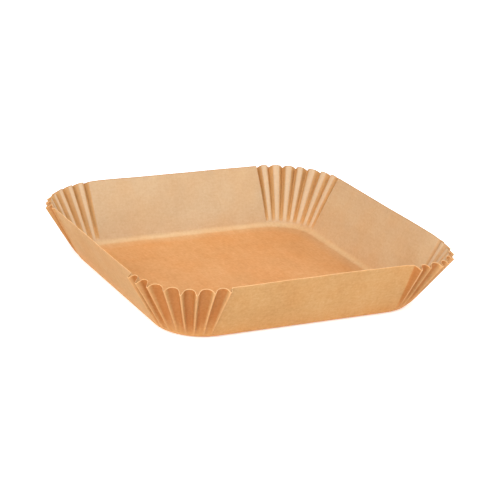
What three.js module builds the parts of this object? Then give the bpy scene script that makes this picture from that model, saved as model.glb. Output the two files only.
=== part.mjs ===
// Air fryer parchment liner: one sheet of thin brown baking paper, pressed into a square
// tray with a flat floor, four plain sloping walls and fluted round corners.
//
// The sheet is a rounded square. When its edge is turned up, the paper of each corner is
// longer than the corner it has to go round, and the spare length is taken up by flutes:
// round lobes on the inside of the tray, sharp creases on the outside. The flutes start at
// the fold round the floor and deepen towards the rim, just enough to use up the paper.
//
// Millimetres, +Z up. The origin is the centre of the underside, on the table.

import * as THREE from 'three';

// Driving dimensions
const floorSide = 165;           // floor, between the lines where floor and walls would meet
const floorCornerRadius = 27;    // round corners of that square
const wallLength = 41;           // paper from that line to the rim, up the slope
const wallFlareDegrees = 25.3;   // lean of the walls, away from upright
const foldRadius = 5;            // soft bend from floor to wall
const creasesPerCorner = 8;
const steepestFlankDegrees = 80; // a flute's side never stands steeper against the wall
const paperThickness = 0.06;

// How finely the curves are cut into facets
const stepsPerFlute = 8;         // even, so that a step falls on each lobe and each crease
const foldSteps = 4;
const wallSteps = 4;

const paperColour = 0xdba56c;
const paperRoughness = 0.85;

const quarterTurn = Math.PI / 2;
const cornersPerTray = 4;
const flare = THREE.MathUtils.degToRad(wallFlareDegrees);
const steepestFlank = THREE.MathUtils.degToRad(steepestFlankDegrees);
const flutePitch = quarterTurn / creasesPerCorner;

// The fold is an arc that touches the floor and the wall at the same distance from the
// line where they would meet.
const foldTurn = quarterTurn - flare;
const foldReach = foldRadius * Math.tan(foldTurn / 2);
const fluteStartRadius = floorCornerRadius + foldReach * Math.sin(flare);
const flutedLength = wallLength - foldReach;

// Sign of each side of the paper: its underside, which is also the outside of the walls,
// and the side that carries the food.
const OUTSIDE = 1;
const INSIDE = -1;

// Length of paper in a flute, as a multiple of the pitch that it covers.
function fluteFullness(paperAboveFold) {
  const flatRadius = fluteStartRadius + paperAboveFold;
  const plannedRadius = fluteStartRadius + paperAboveFold * Math.sin(flare);
  return flatRadius / plannedRadius;
}

// Half angle of the arc whose length is `fullness` times its chord, found by halving the
// range that holds it.
function arcHalfAngle(fullness) {
  let low = 0;
  let high = Math.PI;
  for (let halvings = 0; halvings < 50; halvings += 1) {
    const middle = (low + high) / 2;
    if (middle / Math.sin(middle) < fullness) {
      low = middle;
    } else {
      high = middle;
    }
  }
  return (low + high) / 2;
}

// Point on one side of the paper in a flute's cross-section. `along` runs round the corner
// from the middle of the lobe and `out` stands away from the wall. `share` goes from -1 at
// one crease, through 0 at the middle of the lobe, to 1 at the next crease. The section is
// an arc, followed by a straight flank where the arc would stand too steep.
function flutePoint(share, halfPitch, fullness, side) {
  const offset = side * paperThickness / 2;
  if (fullness <= 1) {
    return { along: share * halfPitch, out: offset };
  }
  const turn = Math.min(arcHalfAngle(fullness), steepestFlank);
  const radius = halfPitch * (1 - fullness * Math.cos(turn))
    / (Math.sin(turn) - turn * Math.cos(turn));
  const paper = Math.abs(share) * fullness * halfPitch;
  const angle = Math.min(paper / radius, turn);
  const flank = Math.max(paper - radius * turn, 0);
  const out = radius * (1 - Math.cos(angle)) + flank * Math.sin(angle);
  if (Math.abs(share) === 1) {
    // The crease: blunt on the outside, and a sharp groove on the inside.
    const creaseDepth = side === OUTSIDE ? offset : offset / Math.cos(turn);
    return { along: share * halfPitch, out: out + creaseDepth };
  }
  const along = radius * Math.sin(angle) + flank * Math.cos(angle) - offset * Math.sin(angle);
  return { along: Math.sign(share) * along, out: out + offset * Math.cos(angle) };
}

// Closed ring of points round the tray. `reach` is how far the ring lies outside the floor
// line, `height` its height, `lean` the angle of the paper's normal below level, and
// `fullness` that of the flutes at this level.
function trayRing({ reach, height, lean, fullness, side }) {
  const ring = [];
  const cornerRadius = floorCornerRadius + reach;
  const cornerCentre = floorSide / 2 - floorCornerRadius;
  const stepsPerCorner = creasesPerCorner * stepsPerFlute;
  for (let corner = 0; corner < cornersPerTray; corner += 1) {
    const centre = new THREE.Vector2(cornerCentre, cornerCentre)
      .rotateAround(new THREE.Vector2(), corner * quarterTurn);
    for (let step = 0; step <= stepsPerCorner; step += 1) {
      const lobe = Math.round(step / stepsPerFlute);
      const share = 2 * (step / stepsPerFlute - lobe);
      const point = flutePoint(share, cornerRadius * flutePitch / 2, fullness, side);
      const angle = corner * quarterTurn + lobe * flutePitch + point.along / cornerRadius;
      const radius = cornerRadius + point.out * Math.cos(lean);
      ring.push(new THREE.Vector3(
        centre.x + radius * Math.cos(angle),
        centre.y + radius * Math.sin(angle),
        height - point.out * Math.sin(lean),
      ));
    }
  }
  return ring;
}

// Rings up one side of the paper, from the edge of the flat floor to the rim.
function paperSide(side) {
  const rings = [];
  for (let step = 0; step <= foldSteps; step += 1) {
    const turned = foldTurn * step / foldSteps;
    rings.push(trayRing({
      reach: foldRadius * Math.sin(turned) - foldReach,
      height: paperThickness / 2 + foldRadius * (1 - Math.cos(turned)),
      lean: quarterTurn - turned,
      fullness: 1,
      side,
    }));
  }
  for (let step = 1; step <= wallSteps; step += 1) {
    // The rings lie closer together near the fold, where the flutes deepen fastest.
    const above = flutedLength * (step / wallSteps) ** 2;
    rings.push(trayRing({
      reach: (foldReach + above) * Math.sin(flare),
      height: paperThickness / 2 + (foldReach + above) * Math.cos(flare),
      lean: flare,
      fullness: fluteFullness(above),
      side,
    }));
  }
  return rings;
}

// Closed solid through a run of rings, with a flat face across the first and the last.
function loft(rings) {
  const count = rings[0].length;
  const positions = rings.flat().flatMap((point) => point.toArray());
  const indices = [];
  for (let row = 0; row < rings.length - 1; row += 1) {
    for (let step = 0; step < count; step += 1) {
      const here = row * count + step;
      const beside = row * count + (step + 1) % count;
      indices.push(here, beside, beside + count, here, beside + count, here + count);
    }
  }
  const firstCentre = positions.length / 3;
  const lastCentre = firstCentre + 1;
  const lastRow = (rings.length - 1) * count;
  positions.push(0, 0, rings[0][0].z, 0, 0, rings[rings.length - 1][0].z);
  for (let step = 0; step < count; step += 1) {
    const next = (step + 1) % count;
    indices.push(firstCentre, next, step);
    indices.push(lastCentre, lastRow + step, lastRow + next);
  }
  const geometry = new THREE.BufferGeometry();
  geometry.setAttribute('position', new THREE.Float32BufferAttribute(positions, 3));
  geometry.setIndex(indices);
  geometry.computeVertexNormals();
  return geometry;
}

// The sheet as a closed solid: across the underside, up the outside of the walls, over the
// cut rim, and down the inside to the floor again.
function makeLiner() {
  const geometry = loft([...paperSide(OUTSIDE), ...paperSide(INSIDE).reverse()]);
  const paper = new THREE.MeshStandardMaterial({
    color: paperColour,
    roughness: paperRoughness,
    metalness: 0,
    flatShading: true,
  });
  const liner = new THREE.Mesh(geometry, paper);
  liner.name = 'liner';
  return liner;
}

const tray = new THREE.Group();
tray.add(makeLiner());

export default tray;
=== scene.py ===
"""Air fryer parchment liner: one pressed sheet of baking paper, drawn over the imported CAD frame."""
import math
import random

import bmesh
import bpy
from mathutils import Matrix, Vector, noise


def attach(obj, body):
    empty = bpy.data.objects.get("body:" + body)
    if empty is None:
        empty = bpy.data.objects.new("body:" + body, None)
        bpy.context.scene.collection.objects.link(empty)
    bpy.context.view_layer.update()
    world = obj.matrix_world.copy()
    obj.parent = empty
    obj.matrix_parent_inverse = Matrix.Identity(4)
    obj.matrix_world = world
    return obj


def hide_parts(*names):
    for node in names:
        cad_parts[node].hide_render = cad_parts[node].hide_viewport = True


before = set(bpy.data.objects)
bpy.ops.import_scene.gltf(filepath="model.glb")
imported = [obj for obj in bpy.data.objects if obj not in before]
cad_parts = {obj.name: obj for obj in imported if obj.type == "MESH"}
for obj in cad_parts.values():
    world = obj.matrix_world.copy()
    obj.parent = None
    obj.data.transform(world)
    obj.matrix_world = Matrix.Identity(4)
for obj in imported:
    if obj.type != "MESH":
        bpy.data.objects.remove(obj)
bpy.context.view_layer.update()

MM = 0.001

# The driving sizes, the same as in the part's source.
FLOOR_SIDE = 165 * MM
FLOOR_CORNER_RADIUS = 27 * MM
WALL_LENGTH = 41 * MM
WALL_FLARE = math.radians(25.3)
FOLD_RADIUS = 5 * MM
CREASES_PER_CORNER = 8

# The flutes' section: flanks up to this steep, a lobe's middle flat over up to this share of its half
# width, and creases rounded over this radius. The paper always turns by a little, so that its arcs can be
# worked out.
STEEPEST_FLANK = math.radians(71)
FLAT_TOP = 0.1
CREASE_RADIUS = 0.5 * MM
LEAST_TURN = 0.001

# The sheet is drawn thicker than the real 0.06 mm, so that its cut edge shows. A band this wide below the
# cut edge is painted darker on the inside, a painted shade, and paler on the outside, a painted highlight.
SHEET = 0.22 * MM
CUT_BAND = 0.4 * MM

# What pressed paper does by itself: how far the walls bow and ripple, the cut edge wanders and the floor
# cockles, how much the lobes rise at the rim, and how far in or out a lobe may stand there.
WALL_BOW = 0.7 * MM
WALL_RIPPLE = 0.16 * MM
RIM_WANDER = 0.35 * MM
FLOOR_COCKLE = 0.28 * MM
LOBE_RISE = 0.4 * MM
LOBE_LIFTS = (-0.2 * MM, 0.5 * MM)
LIFT_SEED = 5

# The smooth noise behind each of these: its waves per metre and its own layer. The bow grows up the wall by
# this power.
BOW_NOISE = (14, 3.7)
RIPPLE_NOISE = (45, 8.1)
WANDER_NOISE = (30, 1.3)
COCKLE_NOISE = (22, 5.5)
BOW_GROWTH = 1.5

# Each wall's own lean in degrees, and how much of the walls' painted sheen, a paler tone for light on them,
# its inside has: right, back, left, front.
WALL_FLARES = [23.9, 24.4, 27.5, 25.7]
WALL_SHEEN_SHARES = [0.82, 1.0, 1.0, 1.0]

# The corners in order round the sheet, each with its creases' directions in degrees from its first wall.
FAR_CREASES = [5.6, 16.9, 28.3, 40.8, 50.7, 61.8, 73.4, 83.2]
LEFT_CREASES = [11.2, 22.6, 33.8, 46.6, 57.4, 66.6, 75.8, 83.4]
NEAR_CREASES = [8.4, 17.9, 27.6, 40.0, 51.6, 62.5, 74.2, 85.2]
RIGHT_CREASES = [9.1, 18.2, 29.8, 39.4, 50.4, 59.6, 68.4, 77.0]
CORNER_CREASES = [FAR_CREASES, LEFT_CREASES, NEAR_CREASES, RIGHT_CREASES]

# How deep each crease is against a regular one.
FAR_DEPTHS = [1.0, 0.95, 1.05, 1.05, 0.95, 1.05, 0.95, 1.1]
LEFT_DEPTHS = [1.0, 1.0, 0.95, 1.1, 1.0, 1.0, 1.1, 0.3]
NEAR_DEPTHS = [0.95, 1.2, 1.0, 0.85, 1.12, 1.12, 0.85, 0.85]
RIGHT_DEPTHS = [1.05, 0.85, 0.95, 1.0, 1.1, 1.1, 0.95, 0.75]
CORNER_DEPTHS = [FAR_DEPTHS, LEFT_DEPTHS, NEAR_DEPTHS, RIGHT_DEPTHS]

# How many degrees further each corner leans out, and how much more so towards its second wall.
CORNER_SPREADS = [0.0, 2.0, 1.2, 7.0]
SPREAD_SKEWS = [0.0, 0.0, 0.0, 0.7]

# The share by which each corner's fan of creases is narrower at the fold than at the rim.
FAN_NARROWINGS = [0.13, 0.0, 0.13, 0.13]

# How far the cut edge dips at each corner's creases.
NOTCH_DROPS = [0.7 * MM, 0.3 * MM, 0, 0]

# How wide the bend is that joins each corner's first and last crease to the flat walls, in degrees.
FIRST_SHOULDERS = [3.4, 4.0, 3.4, 5.2]
LAST_SHOULDERS = [3.4, 3.4, 3.0, 3.6]

# For each corner: how much of a half flute is rib with a painted highlight inside, how strong the flutes'
# painted shade and highlight are inside, and how strong the painted shade in the hollow is on the outside
# of the shoulders.
RIB_HIGHLIGHT_SHARES = [0.46, 0.36, 0.46, 0.46]
INSIDE_PAINTED_SHARES = [1, 1, 1, 0.6]
SHOULDER_SHADE_SHARES = [0.8, 0.55, 0.8, 1]

# Between which places a flute's painted shade and painted highlight come in or go out, as shares of its half
# width from the lobe's middle to the crease. Inside, the groove's painted shade and the crest's painted
# highlight are placed from the rib's own edge.
SHOULDER_SHADE = (0.3, 0.5)
SHADE_FROM_RIB = (-0.02, 0.08)
HIGHLIGHT_TO_RIB = (-0.12, 0.0)
LOBE_SHADE = (0.62, 0.92)
CREASE_HIGHLIGHT = (0.84, 0.95)

# The same painted shade and highlight on the outside of a shoulder, as shares of the way round its crease's
# own bend.
BEND_SHADE = (0.2, 0.9)
BEND_HIGHLIGHT = (0.3, 0.95)

# The paper in a hollow is tinted darker and more orange, a painted shade, outside and inside, in full where
# the flutes are at least this deep.
CHANNEL_SHADE_TINT = (0.8, 0.56, 0.385)
GROOVE_SHADE_TINT = (1.0, 0.83, 0.57)
OUTSIDE_SHADE_DEPTH = 1.8 * MM
INSIDE_SHADE_DEPTH = 0.9 * MM

# The paper is painted paler along the crests and in the fold, a painted highlight, the floor's edge has a
# little of the fold's painted highlight, and there are slightly warmer patches. Inside, the walls' paler
# tone, a painted sheen, starts at the floor's edge and comes mostly within the fold; outside, the low wall
# is painted paler, a painted lift, which fades up the wall.
CREST_HIGHLIGHT_WEIGHT = 0.72
FOLD_HIGHLIGHT_WEIGHT = 0.5
FLOOR_EDGE_HIGHLIGHT_SHARE = 0.35
FLOOR_TONE_SHARE = 0.15
FOLD_TONE_SHARE = 0.75
PATCH_TINT = (1.0, 0.955, 0.89)

# What each point of the sheet carries for its colour: its painted shade in a hollow, its painted highlight
# on a crest, its painted sheen up a wall inside or painted lift low down outside, and its painted highlight
# in the fold.
SHARE_NAMES = ["painted_shade", "painted_highlight", "sheen_and_lift", "fold_highlight"]

# The finishes' places in the sheet's list of materials; the band under a rim is this many after its side.
INSIDE_SLOT = 0
OUTSIDE_SLOT = 1
RIM_SLOTS_AFTER = 2
CUT_SLOT = 4

# Mesh steps. The rows of a wall are closer together near the fold by this power, two stations this close
# together in radians are one, and an edge that folds this far is a sharp one.
LOBE_STEPS = 7
CREASE_STEPS = 3
SHOULDER_LEAD_STEPS = 2
PANEL_STEPS = 26
FLOOR_STEPS = 10
FOLD_STEPS = 8
WALL_STEPS = 26
LOW_STEPS = FOLD_STEPS + WALL_STEPS // 2
ROW_CROWDING = 1.6
SAME_PLACE = 0.002
SHARP_FOLD = math.radians(60)

# The paper's noise patterns: the place each is read at, its scale, its detail and its stretch along each
# axis.
EVEN = (1, 1, 1)
CLOUDS = ((0.3, 0.1, 0.7), 45, 3, EVEN)
MOTTLE = ((1.3, 2.1, 0.4), 620, 2, EVEN)
FIBRES = ((2.3, 0.7, 1.1), 900, 3, (1, 0.22, 1))
CROSS_FIBRES = ((3.1, 1.7, 0.2), 900, 3, (0.25, 1, 1))
STREAKS = ((4.2, 0.9, 2.6), 260, 2, (1, 0.06, 0.3))
PATCHES = ((5.1, 3.3, 1.9), 38, 2, EVEN)

# How much each pattern counts in the paper's tone and in its relief, and the tones at which its colours
# stand.
TONE_WEIGHTS = (0.2, 0.25, 0.23, 0.21, 0.11)
RELIEF_WEIGHTS = (0.4, 0.4, 0.2)
TONE_PLACES = (0.3, 0.5, 0.7)
PATCH_PLACES = (0.42, 0.66)

# The paper's surface, and the share of the light that goes through it.
RELIEF_STRENGTH = 0.35
RELIEF_DEPTH = 0.1 * MM
GLOSS = 0.3
ROUGHNESS_RANGE = (0.42, 0.6)
LIGHT_THROUGH = 0.42

# The studio: a wide floor just under the sheet, its two greys, and the glow that makes it plain white.
STUDIO_WIDTH = 1.8
STUDIO_DROP = 0.05 * MM
STUDIO_GREYS = (0.93, 0.96)
STUDIO_GLOW = 0.4
STUDIO_GRAIN = ((0, 0, 0), 30, 2, EVEN)

# An arc's turn is found by halving its range this many times.
ARC_HALVINGS = 50

CORNER_CENTRE = FLOOR_SIDE / 2 - FLOOR_CORNER_RADIUS
FOLD_REACH = FOLD_RADIUS * math.tan((math.pi / 2 - WALL_FLARE) / 2)
FLUTED_LENGTH = WALL_LENGTH - FOLD_REACH


def arc_turn(fullness):
    """Half angle of the arc that is this many times longer than its chord."""
    low = 0.0
    high = math.pi
    for _ in range(ARC_HALVINGS):
        middle = (low + high) / 2
        if middle / math.sin(middle) < fullness:
            low = middle
        else:
            high = middle
    return low


def flute_depth(above):
    """Depth of a regular flute this far above the fold, if an arc and a flank take up the spare paper."""
    start = FLOOR_CORNER_RADIUS + FOLD_REACH * math.sin(WALL_FLARE)
    wide = start + above * math.sin(WALL_FLARE)
    fullness = (start + above) / wide
    half_pitch = wide * math.pi / (4 * CREASES_PER_CORNER)
    turn = min(arc_turn(fullness), STEEPEST_FLANK)
    if turn < STEEPEST_FLANK:
        return half_pitch * math.tan(turn / 2)
    bend = half_pitch * (1 - fullness * math.cos(turn)) / (math.sin(turn) - turn * math.cos(turn))
    flank = fullness * half_pitch - bend * turn
    return bend * (1 - math.cos(turn)) + flank * math.sin(turn)


def half_flute(half_pitch, depth, step):
    """A point between a lobe's middle and its crease: distance along the wall, distance out, paper's turn.

    The crease takes at most a third of the bend, and the lobe's arc takes the rest.
    """
    flat = half_pitch * FLAT_TOP * min(depth / half_pitch, 1)
    width = half_pitch - flat
    turn = max(min(2 * math.atan2(depth, width), STEEPEST_FLANK), LEAST_TURN)
    rise = math.tan(turn / 2)
    flank = max(depth - width * rise, 0) / (math.sin(turn) - math.cos(turn) * rise)
    bend = (width - flank * math.cos(turn)) / math.sin(turn)
    crease = min(CREASE_RADIUS, bend / 3)
    lobe = bend - crease
    if step == 0:
        return 0.0, 0.0, 0.0
    if step <= LOBE_STEPS:
        here = turn * (step - 1) / (LOBE_STEPS - 1)
        return flat + lobe * math.sin(here), lobe * (1 - math.cos(here)), here
    here = turn * (LOBE_STEPS + CREASE_STEPS - step) / CREASE_STEPS
    flank_along = flat + lobe * math.sin(turn) + flank * math.cos(turn)
    flank_out = lobe * (1 - math.cos(turn)) + flank * math.sin(turn)
    along = flank_along + crease * (math.sin(turn) - math.sin(here))
    out = flank_out + crease * (math.cos(here) - math.cos(turn))
    return along, out, here


def panel_stations(corner):
    """Stations of the flat wall that follows a corner, each a share of the way to the next corner."""
    stations = []
    for step in range(1, PANEL_STEPS):
        stations.append({"corner": corner, "panel": step / PANEL_STEPS})
    return stations


def flute_station(corner, middle, half_angle, side, step, depth, lift, shoulder):
    """One station of a half flute, on the side of its lobe given by side; a shoulder joins a flat wall."""
    return {"corner": corner, "middle": middle, "half_angle": half_angle, "side": side,
            "step": step, "depth": depth, "lift": lift, "shoulder": shoulder}


def corner_stations(corner, rng):
    """Stations round one fluted corner, from one flat wall to the next."""
    creases = [math.radians(angle) for angle in CORNER_CREASES[corner]]
    depths = CORNER_DEPTHS[corner]
    last = LOBE_STEPS + CREASE_STEPS
    stations = []
    shoulder = math.radians(FIRST_SHOULDERS[corner])
    lead = creases[0] - shoulder
    for step in range(SHOULDER_LEAD_STEPS):
        stations.append(flute_station(corner, lead * step / SHOULDER_LEAD_STEPS, shoulder, 1, 0, 1, 0, True))
    for step in range(last):
        stations.append(flute_station(corner, lead, shoulder, 1, step, depths[0], 0, True))
    for crease in range(len(creases) - 1):
        middle = (creases[crease] + creases[crease + 1]) / 2
        half_angle = (creases[crease + 1] - creases[crease]) / 2
        lift = rng.uniform(*LOBE_LIFTS)
        depth = depths[crease]
        for step in range(last, 0, -1):
            stations.append(flute_station(corner, middle, half_angle, -1, step, depth, lift, False))
        depth = depths[crease + 1]
        for step in range(last):
            stations.append(flute_station(corner, middle, half_angle, 1, step, depth, lift, False))
    trail = min(creases[-1] + math.radians(LAST_SHOULDERS[corner]), math.pi / 2)
    half_angle = trail - creases[-1]
    for step in range(last, 0, -1):
        stations.append(flute_station(corner, trail, half_angle, -1, step, depths[-1], 0, True))
    for step in range(SHOULDER_LEAD_STEPS + 1):
        angle = trail + (math.pi / 2 - trail) * step / SHOULDER_LEAD_STEPS
        stations.append(flute_station(corner, angle, half_angle, 1, 0, 1, 0, True))
    return stations


def drop_repeats(stations):
    """Leave out a station that stands where the one before it does."""
    kept = []
    for station in stations:
        repeated = False
        if kept and station["step"] == kept[-1]["step"] == 0:
            repeated = abs(station["middle"] - kept[-1]["middle"]) < SAME_PLACE
        if not repeated:
            kept.append(station)
    return kept


def all_stations():
    """All stations once round the sheet, counter-clockwise from the right wall's end."""
    rng = random.Random(LIFT_SEED)
    stations = []
    for corner in range(4):
        stations += drop_repeats(corner_stations(corner, rng))
        stations += panel_stations(corner)
    return stations


def flare_at(corner, turned):
    """The wall's lean this far round a corner: a blend of its two walls, plus the corner's own spread."""
    share = turned / (math.pi / 2)
    blend = WALL_FLARES[corner] * (1 - share) + WALL_FLARES[(corner + 1) % 4] * share
    skew = 1 + SPREAD_SKEWS[corner] * (share - 0.5)
    return math.radians(blend + CORNER_SPREADS[corner] * math.sin(2 * turned) * skew)


def sheen_share_at(corner, turned):
    """How much of the walls' painted sheen the inside has this far round a corner, blended between its two
    walls.
    """
    share = turned / (math.pi / 2)
    return WALL_SHEEN_SHARES[corner] * (1 - share) + WALL_SHEEN_SHARES[(corner + 1) % 4] * share


def turned_by(station):
    """How far round its corner a station's wall faces, before its flute turns it."""
    if "panel" in station:
        return math.pi / 2
    return station["middle"]


def profile(row, flare):
    """One row of the fold or the wall: reach past the floor line, height, lean, distance above the fold."""
    fold_reach = FOLD_RADIUS * math.tan((math.pi / 2 - flare) / 2)
    if row <= FOLD_STEPS:
        turned = (math.pi / 2 - flare) * row / FOLD_STEPS
        reach = FOLD_RADIUS * math.sin(turned) - fold_reach
        return reach, FOLD_RADIUS * (1 - math.cos(turned)), math.pi / 2 - turned, 0.0
    share = (row - FOLD_STEPS) / WALL_STEPS
    if share > 1:
        above = FLUTED_LENGTH
    else:
        above = (FLUTED_LENGTH - CUT_BAND) * share ** ROW_CROWDING
    slant = fold_reach + above
    return slant * math.sin(flare), slant * math.cos(flare), flare, above


def smooth_share(value, low, high):
    """From 0 at one value to 1 at another, eased at both ends."""
    share = min(max((value - low) / (high - low), 0), 1)
    return share * share * (3 - 2 * share)


def inside_shade_and_highlight(station, across):
    """Painted shade and highlight inside: a lobe's middle gets the painted highlight and the rest the
    painted shade; a shoulder has no highlight.
    """
    if station["shoulder"]:
        return smooth_share(across, *SHOULDER_SHADE), 0.0
    past_rib = across - RIB_HIGHLIGHT_SHARES[station["corner"]]
    return smooth_share(past_rib, *SHADE_FROM_RIB), 1 - smooth_share(past_rib, *HIGHLIGHT_TO_RIB)


def outside_shade_and_highlight(station, across):
    """Painted shade and highlight outside: a crease gets the painted highlight and a lobe's hollow the
    painted shade, and a shoulder starts plain.
    """
    if station["shoulder"]:
        bent = max(station["step"] - LOBE_STEPS, 0) / CREASE_STEPS
        painted_shade = (1 - smooth_share(bent, *BEND_SHADE)) * smooth_share(across, *SHOULDER_SHADE)
        return painted_shade * SHOULDER_SHADE_SHARES[station["corner"]], smooth_share(bent, *BEND_HIGHLIGHT)
    return 1 - smooth_share(across, *LOBE_SHADE), smooth_share(across, *CREASE_HIGHLIGHT)


def flute_shade_and_highlight(station, row, side):
    """How much painted shade a point gets down in a hollow of the flutes, and how much painted highlight on
    a crest of them.
    """
    flare = flare_at(station["corner"], turned_by(station))
    reach, _, _, above = profile(row, flare)
    if "panel" in station or above == 0:
        return 0.0, 0.0
    depth = flute_depth(above) * station["depth"]
    half_pitch = (FLOOR_CORNER_RADIUS + reach) * station["half_angle"]
    across = half_flute(half_pitch, depth, station["step"])[0] / half_pitch
    if side == -1:
        painted_shade, painted_highlight = inside_shade_and_highlight(station, across)
        strength = min(depth / INSIDE_SHADE_DEPTH, 1) * INSIDE_PAINTED_SHARES[station["corner"]]
    else:
        painted_shade, painted_highlight = outside_shade_and_highlight(station, across)
        strength = min(depth / OUTSIDE_SHADE_DEPTH, 1)
    return painted_shade * strength, painted_highlight * strength


def fold_highlight_share(row):
    """How much painted highlight a row gets in the fold between floor and walls; the floor's edge has a
    little of it too.
    """
    along = min(row / FOLD_STEPS, 1)
    return max(FLOOR_EDGE_HIGHLIGHT_SHARE * (1 - along), math.sin(math.pi * along))


def fan_shift(corner, turned, above):
    """How far round a corner a crease stands from its place at the rim: its fan is narrower lower down."""
    fan_start = math.radians(CORNER_CREASES[corner][0] - FIRST_SHOULDERS[corner])
    fan_end = math.radians(CORNER_CREASES[corner][-1] + LAST_SHOULDERS[corner])
    share = min(turned / fan_start, (math.pi / 2 - turned) / (math.pi / 2 - fan_end), 1)
    return FAN_NARROWINGS[corner] * (math.pi / 4 - turned) * share * (1 - above / FLUTED_LENGTH)


def sheen_and_lift_share(station, row, side):
    """How much of the walls' tone a row has: inside a painted sheen, mostly within the fold; outside the
    plain tone, over a painted lift that is strongest low down.
    """
    share = min(row / LOW_STEPS, 1)
    if side == -1:
        share = FOLD_TONE_SHARE * min(row / FOLD_STEPS, 1) + (1 - FOLD_TONE_SHARE) * share
        share *= sheen_share_at(station["corner"], turned_by(station))
    return FLOOR_TONE_SHARE + (1 - FLOOR_TONE_SHARE) * share


def plan_noise(point, waves, layer):
    """Smooth noise over the plan, from about -1 to 1."""
    return noise.noise(Vector((point.x * waves, point.y * waves, layer)))


def wall_sway(point, above):
    """How far the paper stands out from the true wall: not at all at the fold and most at the rim."""
    share = above / FLUTED_LENGTH
    bow = WALL_BOW * plan_noise(point, *BOW_NOISE) * share ** BOW_GROWTH
    return bow + WALL_RIPPLE * plan_noise(point, *RIPPLE_NOISE) * share


def floor_rise(point):
    """The floor's slight unevenness, never below the table."""
    cockle = 0.5 + 0.5 * plan_noise(point, *COCKLE_NOISE)
    edge = max(abs(point.x), abs(point.y)) / (FLOOR_SIDE / 2)
    return FLOOR_COCKLE * cockle * max(0, 1 - edge ** 2)


def level_direction(angle):
    """The level direction at this angle, counter-clockwise from +X."""
    return Vector((math.cos(angle), math.sin(angle), 0))


def centre_of(station):
    """The point that a station's wall turns about: its corner's centre, moved along for a flat wall."""
    start = station["corner"] * math.pi / 2
    centre = level_direction(start + math.pi / 4) * CORNER_CENTRE * math.sqrt(2)
    if "panel" in station:
        centre = centre - level_direction(start) * 2 * CORNER_CENTRE * station["panel"]
    return centre


def flare_of(station):
    """The wall's lean at a station, taken at the station's own place within its flute."""
    turned = turned_by(station)
    if "panel" not in station:
        pitch = station["half_angle"] * station["step"] / (LOBE_STEPS + CREASE_STEPS)
        turned += station["side"] * pitch
    return flare_at(station["corner"], turned)


def flute_offset(station, radius, above, offset):
    """How far a flute moves a point along the wall and out of it, and how much it moves the cut edge up."""
    depth = flute_depth(above) * station["depth"] if above > 0 else 0.0
    swing, bulge, turn = half_flute(radius * station["half_angle"], depth, station["step"])
    along = station["side"] * (swing - offset * math.sin(turn))
    out = bulge + offset * math.cos(turn) - station["lift"] * above / FLUTED_LENGTH
    crease_share = bulge / depth if depth > 0 else 0.0
    edge_rise = -NOTCH_DROPS[station["corner"]] * crease_share
    if depth > 0 and not station["shoulder"]:
        edge_rise += LOBE_RISE * (1 - crease_share)
    return along, out, edge_rise


def ring_point(station, row, side):
    """A point of the sheet at a station and row, on its outside (side 1) or its inside (side -1)."""
    corner = station["corner"]
    reach, height, lean, above = profile(row, flare_of(station))
    radius = FLOOR_CORNER_RADIUS + reach
    turned = turned_by(station)
    out = side * SHEET / 2
    edge_rise = 0.0
    if "panel" not in station:
        along, out, edge_rise = flute_offset(station, radius, above, out)
        turned += along / radius
        turned += fan_shift(corner, turned, above)
    facing = level_direction(corner * math.pi / 2 + turned)
    foot = centre_of(station) + facing * radius
    wander = RIM_WANDER * plan_noise(foot, *WANDER_NOISE)
    rise = (wander + edge_rise) * above / FLUTED_LENGTH
    out += wall_sway(foot, above)
    point = foot + facing * (out * math.cos(lean) + rise * math.sin(lean))
    point.z = SHEET / 2 + height - out * math.sin(lean) + rise * math.cos(lean)
    return point


def skin_rings(mesh, layers, stations, side):
    """Rings of vertices from near the floor's middle up to the rim, on one side of the sheet."""
    painted_shade, painted_highlight, sheen_and_lift, fold_highlight = layers
    rings = []
    edge = [ring_point(station, 0, side) for station in stations]
    for step in range(1, FLOOR_STEPS):
        ring = []
        for corner_point in edge:
            point = Vector((corner_point.x, corner_point.y, 0)) * (step / FLOOR_STEPS)
            point.z = corner_point.z + floor_rise(point)
            ring.append(mesh.verts.new(point))
        rings.append(ring)
    for row in range(FOLD_STEPS + WALL_STEPS + 2):
        ring = []
        for station in stations:
            vertex = mesh.verts.new(ring_point(station, row, side))
            # Each point carries its painted shade and highlight, its painted sheen or lift, and the fold's
            # painted highlight.
            vertex[painted_shade], vertex[painted_highlight] = flute_shade_and_highlight(station, row, side)
            vertex[sheen_and_lift] = sheen_and_lift_share(station, row, side)
            vertex[fold_highlight] = fold_highlight_share(row) if side == -1 else 0
            ring.append(vertex)
        rings.append(ring)
    return rings


def stitch(mesh, low, high, flip, material):
    """Join two rings with faces, the right way out."""
    count = len(low)
    for here in range(count):
        after = (here + 1) % count
        corners = [low[here], low[after], high[after], high[here]]
        if flip:
            corners.reverse()
        face = mesh.faces.new(corners)
        face.smooth = True
        face.material_index = material


def close_floor(mesh, ring, flip, height):
    """Close the middle of the floor with a fan about one point."""
    middle = mesh.verts.new((0, 0, height + floor_rise(Vector((0, 0, 0)))))
    count = len(ring)
    for here in range(count):
        corners = [middle, ring[here], ring[(here + 1) % count]]
        if flip:
            corners.reverse()
        face = mesh.faces.new(corners)
        face.smooth = True


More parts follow.
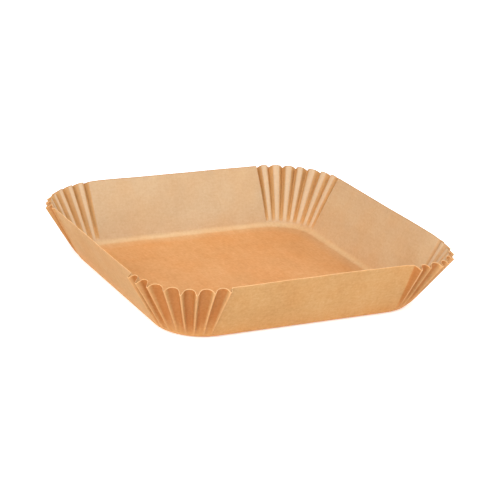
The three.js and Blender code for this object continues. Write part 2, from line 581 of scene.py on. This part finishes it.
def make_sheet():
    """The whole sheet as one closed mesh: inside, outside, a band under each rim for its painted shade or
    highlight, and the cut edge.
    """
    stations = all_stations()
    mesh = bmesh.new()
    for name in SHARE_NAMES:
        mesh.verts.layers.float.new(name)
    layers = [mesh.verts.layers.float[name] for name in SHARE_NAMES]
    inside = skin_rings(mesh, layers, stations, -1)
    outside = skin_rings(mesh, layers, stations, 1)
    close_floor(mesh, inside[0], False, SHEET)
    close_floor(mesh, outside[0], True, 0)
    for rings, flip, slot in ((inside, False, INSIDE_SLOT), (outside, True, OUTSIDE_SLOT)):
        for index in range(len(rings) - 2):
            stitch(mesh, rings[index], rings[index + 1], flip, slot)
        stitch(mesh, rings[-2], rings[-1], flip, slot + RIM_SLOTS_AFTER)
    stitch(mesh, inside[-1], outside[-1], False, CUT_SLOT)
    mesh.normal_update()
    for edge in mesh.edges:
        if len(edge.link_faces) == 2 and edge.calc_face_angle(0) > SHARP_FOLD:
            edge.smooth = False
    data = bpy.data.meshes.new("baking_paper_sheet")
    mesh.to_mesh(data)
    mesh.free()
    piece = bpy.data.objects.new("baking_paper_sheet", data)
    bpy.context.scene.collection.objects.link(piece)
    return piece


def noise_node(tree, place, scale, detail, stretch):
    """A noise texture in metres, drawn out along an axis where its stretch is less than one."""
    mapping = tree.nodes.new("ShaderNodeMapping")
    mapping.inputs["Scale"].default_value = stretch
    mapping.inputs["Location"].default_value = place
    texture = tree.nodes.new("ShaderNodeTexNoise")
    texture.inputs["Scale"].default_value = scale
    texture.inputs["Detail"].default_value = detail
    coordinates = tree.nodes.new("ShaderNodeTexCoord")
    tree.links.new(coordinates.outputs["Object"], mapping.inputs["Vector"])
    tree.links.new(mapping.outputs["Vector"], texture.inputs["Vector"])
    return texture.outputs["Fac"]


def weighted_sum(tree, terms):
    """The sum of several values, each times its weight."""
    total = None
    for value, weight in terms:
        step = tree.nodes.new("ShaderNodeMath")
        step.operation = "MULTIPLY_ADD"
        tree.links.new(value, step.inputs[0])
        step.inputs[1].default_value = weight
        if total is not None:
            tree.links.new(total, step.inputs[2])
        else:
            step.inputs[2].default_value = 0.0
        total = step.outputs[0]
    return total


def ramp(tree, value, stops):
    """A colour ramp through the given stops, each a place and a linear colour."""
    stops = list(stops)
    node = tree.nodes.new("ShaderNodeValToRGB")
    elements = node.color_ramp.elements
    while len(elements) < len(stops):
        elements.new(0.5)
    for element, (place, colour) in zip(elements, stops):
        element.position = place
        element.color = (*colour, 1)
    tree.links.new(value, node.inputs["Fac"])
    return node.outputs["Color"]


def linear(red, green, blue):
    """A screen colour, 0 to 255, as linear light, by the usual sRGB formula."""
    values = []
    for level in (red, green, blue):
        share = level / 255
        values.append(share / 12.92 if share <= 0.04045 else ((share + 0.055) / 1.055) ** 2.4)
    return tuple(values)


def multiplied(tree, colour, tint, share):
    """A colour times a tint, by a share that a node gives."""
    node = tree.nodes.new("ShaderNodeMix")
    node.data_type = "RGBA"
    node.blend_type = "MULTIPLY"
    tree.links.new(share, node.inputs["Factor"])
    tree.links.new(colour, node.inputs["A"])
    node.inputs["B"].default_value = (*tint, 1)
    return node.outputs["Result"]


def marked(tree, name):
    """A value that the mesh carries at its points."""
    node = tree.nodes.new("ShaderNodeAttribute")
    node.attribute_name = name
    return node.outputs["Fac"]


def blended(tree, first, second, share):
    """One colour turned into another by a share that a node gives."""
    node = tree.nodes.new("ShaderNodeMix")
    node.data_type = "RGBA"
    tree.links.new(share, node.inputs["Factor"])
    tree.links.new(first, node.inputs["A"])
    tree.links.new(second, node.inputs["B"])
    return node.outputs["Result"]


def paper_colour(tree, tone, floor_tones, wall_tones, shade_tint, highlight_tones):
    """The paper's colour, from its tone and from what the mesh carries at its points: painted shade, painted
    highlight, painted sheen or lift, and the fold's painted highlight.
    """
    # Painted highlight tones for the fold.
    fold_highlight_tones = (linear(220, 199, 154), linear(230, 212, 170))
    end_places = (TONE_PLACES[0], TONE_PLACES[-1])
    floor_colour = ramp(tree, tone, zip(TONE_PLACES, floor_tones))
    wall_colour = ramp(tree, tone, zip(TONE_PLACES, wall_tones))
    fold_highlight_colour = ramp(tree, tone, zip(end_places, fold_highlight_tones))
    highlight_colour = ramp(tree, tone, zip(end_places, highlight_tones))
    patches = noise_node(tree, *PATCHES)
    patch_share = ramp(tree, patches, zip(PATCH_PLACES, ((0, 0, 0), (1, 1, 1))))
    # Painted highlight in the fold.
    fold_highlight = weighted_sum(tree, ((marked(tree, "fold_highlight"), FOLD_HIGHLIGHT_WEIGHT),))
    # Painted highlight along the crests.
    painted_highlight = weighted_sum(tree, ((marked(tree, "painted_highlight"), CREST_HIGHLIGHT_WEIGHT),))
    # Painted sheen up the walls inside, painted lift low on the walls outside.
    colour = blended(tree, floor_colour, wall_colour, marked(tree, "sheen_and_lift"))
    colour = blended(tree, colour, fold_highlight_colour, fold_highlight)
    colour = multiplied(tree, colour, PATCH_TINT, patch_share)
    # Painted shade in the hollows of the flutes.
    colour = multiplied(tree, colour, shade_tint, marked(tree, "painted_shade"))
    return blended(tree, colour, highlight_colour, painted_highlight)


def paper_surface(tree, tone, relief, colour):
    """The paper's surface: a soft gloss over a fine relief."""
    bump = tree.nodes.new("ShaderNodeBump")
    bump.inputs["Strength"].default_value = RELIEF_STRENGTH
    bump.inputs["Distance"].default_value = RELIEF_DEPTH
    tree.links.new(relief, bump.inputs["Height"])
    roughness = tree.nodes.new("ShaderNodeMapRange")
    roughness.inputs["To Min"].default_value = ROUGHNESS_RANGE[0]
    roughness.inputs["To Max"].default_value = ROUGHNESS_RANGE[1]
    tree.links.new(tone, roughness.inputs["Value"])
    surface = tree.nodes.new("ShaderNodeBsdfPrincipled")
    surface.inputs["Specular IOR Level"].default_value = GLOSS
    tree.links.new(roughness.outputs["Result"], surface.inputs["Roughness"])
    tree.links.new(colour, surface.inputs["Base Color"])
    tree.links.new(bump.outputs["Normal"], surface.inputs["Normal"])
    return surface.outputs["BSDF"]


def paper_material(name, floor_tones, wall_tones, shade_tint, highlight_tones):
    """Baking paper: cloudy mottling, short fibres, faint streaks, a soft gloss and some light through it."""
    material = bpy.data.materials.new(name)
    material.use_nodes = True
    tree = material.node_tree
    tree.nodes.clear()
    clouds = noise_node(tree, *CLOUDS)
    mottle = noise_node(tree, *MOTTLE)
    fibres = noise_node(tree, *FIBRES)
    cross_fibres = noise_node(tree, *CROSS_FIBRES)
    streaks = noise_node(tree, *STREAKS)
    tone = weighted_sum(tree, zip((clouds, mottle, fibres, cross_fibres, streaks), TONE_WEIGHTS))
    relief = weighted_sum(tree, zip((mottle, fibres, cross_fibres), RELIEF_WEIGHTS))
    colour = paper_colour(tree, tone, floor_tones, wall_tones, shade_tint, highlight_tones)
    through = tree.nodes.new("ShaderNodeBsdfTranslucent")
    tree.links.new(colour, through.inputs["Color"])
    mix = tree.nodes.new("ShaderNodeMixShader")
    mix.inputs["Fac"].default_value = LIGHT_THROUGH
    tree.links.new(paper_surface(tree, tone, relief, colour), mix.inputs[1])
    tree.links.new(through.outputs["BSDF"], mix.inputs[2])
    output = tree.nodes.new("ShaderNodeOutputMaterial")
    tree.links.new(mix.outputs["Shader"], output.inputs["Surface"])
    return material


def paper_finishes():
    """The sheet's inside and outside with their painted shade, highlight, sheen and lift, the bands under
    its rim painted as shade inside and highlight outside, and its cut edge painted pale as a highlight.
    """
    # Inside, the walls are painted paler than the floor, a painted sheen; outside, the low wall is painted
    # paler, a painted lift.
    inner_floor = (linear(203, 148, 88), linear(218, 170, 111), linear(230, 189, 136))
    inner_wall_painted_sheen = (linear(202, 177, 140), linear(211, 189, 155), linear(219, 201, 168))
    outer = (linear(195, 148, 88), linear(210, 168, 111), linear(220, 187, 135))
    # The cut edge is painted pale, a painted highlight.
    cut_painted_highlight = (linear(232, 194, 138), linear(243, 210, 158), linear(250, 222, 176))
    outer_low_painted_lift = (linear(217, 162, 96), linear(233, 183, 120), linear(243, 203, 145))
    # Painted shade under the rim inside, painted highlight under the rim outside.
    inner_band_painted_shade = (linear(168, 122, 76), linear(179, 134, 86), linear(190, 147, 99))
    outer_band_painted_highlight = (linear(222, 175, 116), linear(234, 192, 134), linear(243, 205, 153))
    # Painted highlights for the crests, inside and outside.
    inner_crest_highlight = (linear(225, 204, 167), linear(235, 218, 184))
    outer_crest_highlight = (linear(227, 178, 121), linear(238, 195, 140))
    untinted = (1, 1, 1)
    return [
        paper_material("paper_inside", inner_floor, inner_wall_painted_sheen, GROOVE_SHADE_TINT, inner_crest_highlight),
        paper_material("paper_outside", outer_low_painted_lift, outer, CHANNEL_SHADE_TINT, outer_crest_highlight),
        paper_material("paper_rim_inside_painted_shade", inner_band_painted_shade, inner_band_painted_shade, untinted, inner_band_painted_shade[1:]),
        paper_material("paper_rim_outside_painted_highlight", outer_band_painted_highlight, outer_band_painted_highlight, untinted, outer_band_painted_highlight[1:]),
        paper_material("paper_cut_edge_painted_highlight", cut_painted_highlight, cut_painted_highlight, untinted, cut_painted_highlight[1:]),
    ]


def background_share(tree):
    """One for a ray that shows the background straight, mirrored or through something, and else nought."""
    rays = tree.nodes.new("ShaderNodeLightPath")
    seen = rays.outputs["Is Camera Ray"]
    for kind in ("Is Glossy Ray", "Is Transmission Ray"):
        either = tree.nodes.new("ShaderNodeMath")
        either.operation = "MAXIMUM"
        tree.links.new(seen, either.inputs[0])
        tree.links.new(rays.outputs[kind], either.inputs[1])
        seen = either.outputs[0]
    return seen


def floor_material():
    """A pale studio floor that keeps the object's shadow and glows just enough to look white."""
    material = bpy.data.materials.new("studio_floor")
    material.use_nodes = True
    tree = material.node_tree
    tree.nodes.clear()
    grain = noise_node(tree, *STUDIO_GRAIN)
    greys = [(level, level, level) for level in STUDIO_GREYS]
    colour = ramp(tree, grain, zip((TONE_PLACES[0], TONE_PLACES[-1]), greys))
    surface = tree.nodes.new("ShaderNodeBsdfDiffuse")
    tree.links.new(colour, surface.inputs["Color"])
    glow = tree.nodes.new("ShaderNodeEmission")
    share = tree.nodes.new("ShaderNodeMath")
    share.operation = "MULTIPLY"
    share.inputs[1].default_value = STUDIO_GLOW
    tree.links.new(background_share(tree), share.inputs[0])
    tree.links.new(share.outputs[0], glow.inputs["Strength"])
    both = tree.nodes.new("ShaderNodeAddShader")
    tree.links.new(surface.outputs["BSDF"], both.inputs[0])
    tree.links.new(glow.outputs["Emission"], both.inputs[1])
    output = tree.nodes.new("ShaderNodeOutputMaterial")
    tree.links.new(both.outputs["Shader"], output.inputs["Surface"])
    return material


def add_floor():
    """The floor under the tray."""
    bpy.ops.mesh.primitive_plane_add(size=STUDIO_WIDTH, location=(0, 0, -STUDIO_DROP))
    floor = bpy.context.object
    floor.name = "studio_floor"
    floor.data.materials.append(floor_material())


def direction_of(azimuth, elevation):
    """The way from the object to something at this azimuth and elevation; azimuth 0 is in front, at -Y."""
    flat = math.cos(elevation)
    return Vector((math.sin(azimuth) * flat, -math.cos(azimuth) * flat, math.sin(elevation)))


def add_softbox(name, azimuth, elevation, distance, width, level):
    """A square softbox that faces the object; a white card facing a small one would show its level."""
    lamp = bpy.data.lights.new(name, "AREA")
    lamp.shape = "SQUARE"
    lamp.size = width
    lamp.energy = level * math.pi ** 2 * distance ** 2
    away = direction_of(math.radians(azimuth), math.radians(elevation))
    holder = bpy.data.objects.new(name, lamp)
    holder.location = away * distance
    holder.rotation_euler = away.to_track_quat("Z", "Y").to_euler()
    bpy.context.scene.collection.objects.link(holder)


def add_world(level):
    """Even light from all round, and plain white for the rays that show the background."""
    world = bpy.data.worlds.new("studio")
    bpy.context.scene.world = world
    world.use_nodes = True
    tree = world.node_tree
    tree.nodes.clear()
    strength = tree.nodes.new("ShaderNodeMapRange")
    strength.inputs["To Min"].default_value = level
    strength.inputs["To Max"].default_value = 1.0
    tree.links.new(background_share(tree), strength.inputs["Value"])
    sky = tree.nodes.new("ShaderNodeBackground")
    sky.inputs["Color"].default_value = (1, 1, 1, 1)
    tree.links.new(strength.outputs["Result"], sky.inputs["Strength"])
    output = tree.nodes.new("ShaderNodeOutputWorld")
    tree.links.new(sky.outputs["Background"], output.inputs["Surface"])


def add_camera():
    """The photograph's view, its lens, place and turn fitted to the rims and the floor."""
    lens = 128.94
    azimuth = math.radians(-28.0)
    elevation = math.radians(19.64)
    roll = math.radians(3.505)
    distance = 1108.86 * MM
    aim = Vector((6.80, 2.93, 16.20)) * MM
    data = bpy.data.cameras.new("photo_camera")
    data.lens = lens
    data.sensor_width = 36
    camera = bpy.data.objects.new("photo_camera", data)
    back = direction_of(azimuth, elevation)
    level_right = Vector((0, 0, 1)).cross(back).normalized()
    level_up = back.cross(level_right)
    right = level_right * math.cos(roll) + level_up * math.sin(roll)
    up = level_up * math.cos(roll) - level_right * math.sin(roll)
    turn = Matrix((right, up, back)).transposed().to_4x4()
    camera.matrix_world = Matrix.Translation(aim + back * distance) @ turn
    bpy.context.scene.collection.objects.link(camera)
    bpy.context.scene.camera = camera


def make_liner():
    """The sheet in place of its CAD solid, with its finishes."""
    piece = make_sheet()
    for material in paper_finishes():
        piece.data.materials.append(material)
    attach(piece, "root")
    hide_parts("liner")


add_camera()
make_liner()
add_floor()
add_softbox("right_softbox", azimuth=78, elevation=48, distance=2.2, width=2.4, level=1.12)
add_softbox("left_softbox", azimuth=-60, elevation=38, distance=2.2, width=2.0, level=1.12)
add_softbox("front_softbox", azimuth=-20, elevation=14, distance=2.2, width=1.0, level=0.27)
add_world(level=0.3)
bpy.context.scene.view_settings.view_transform = "Standard"
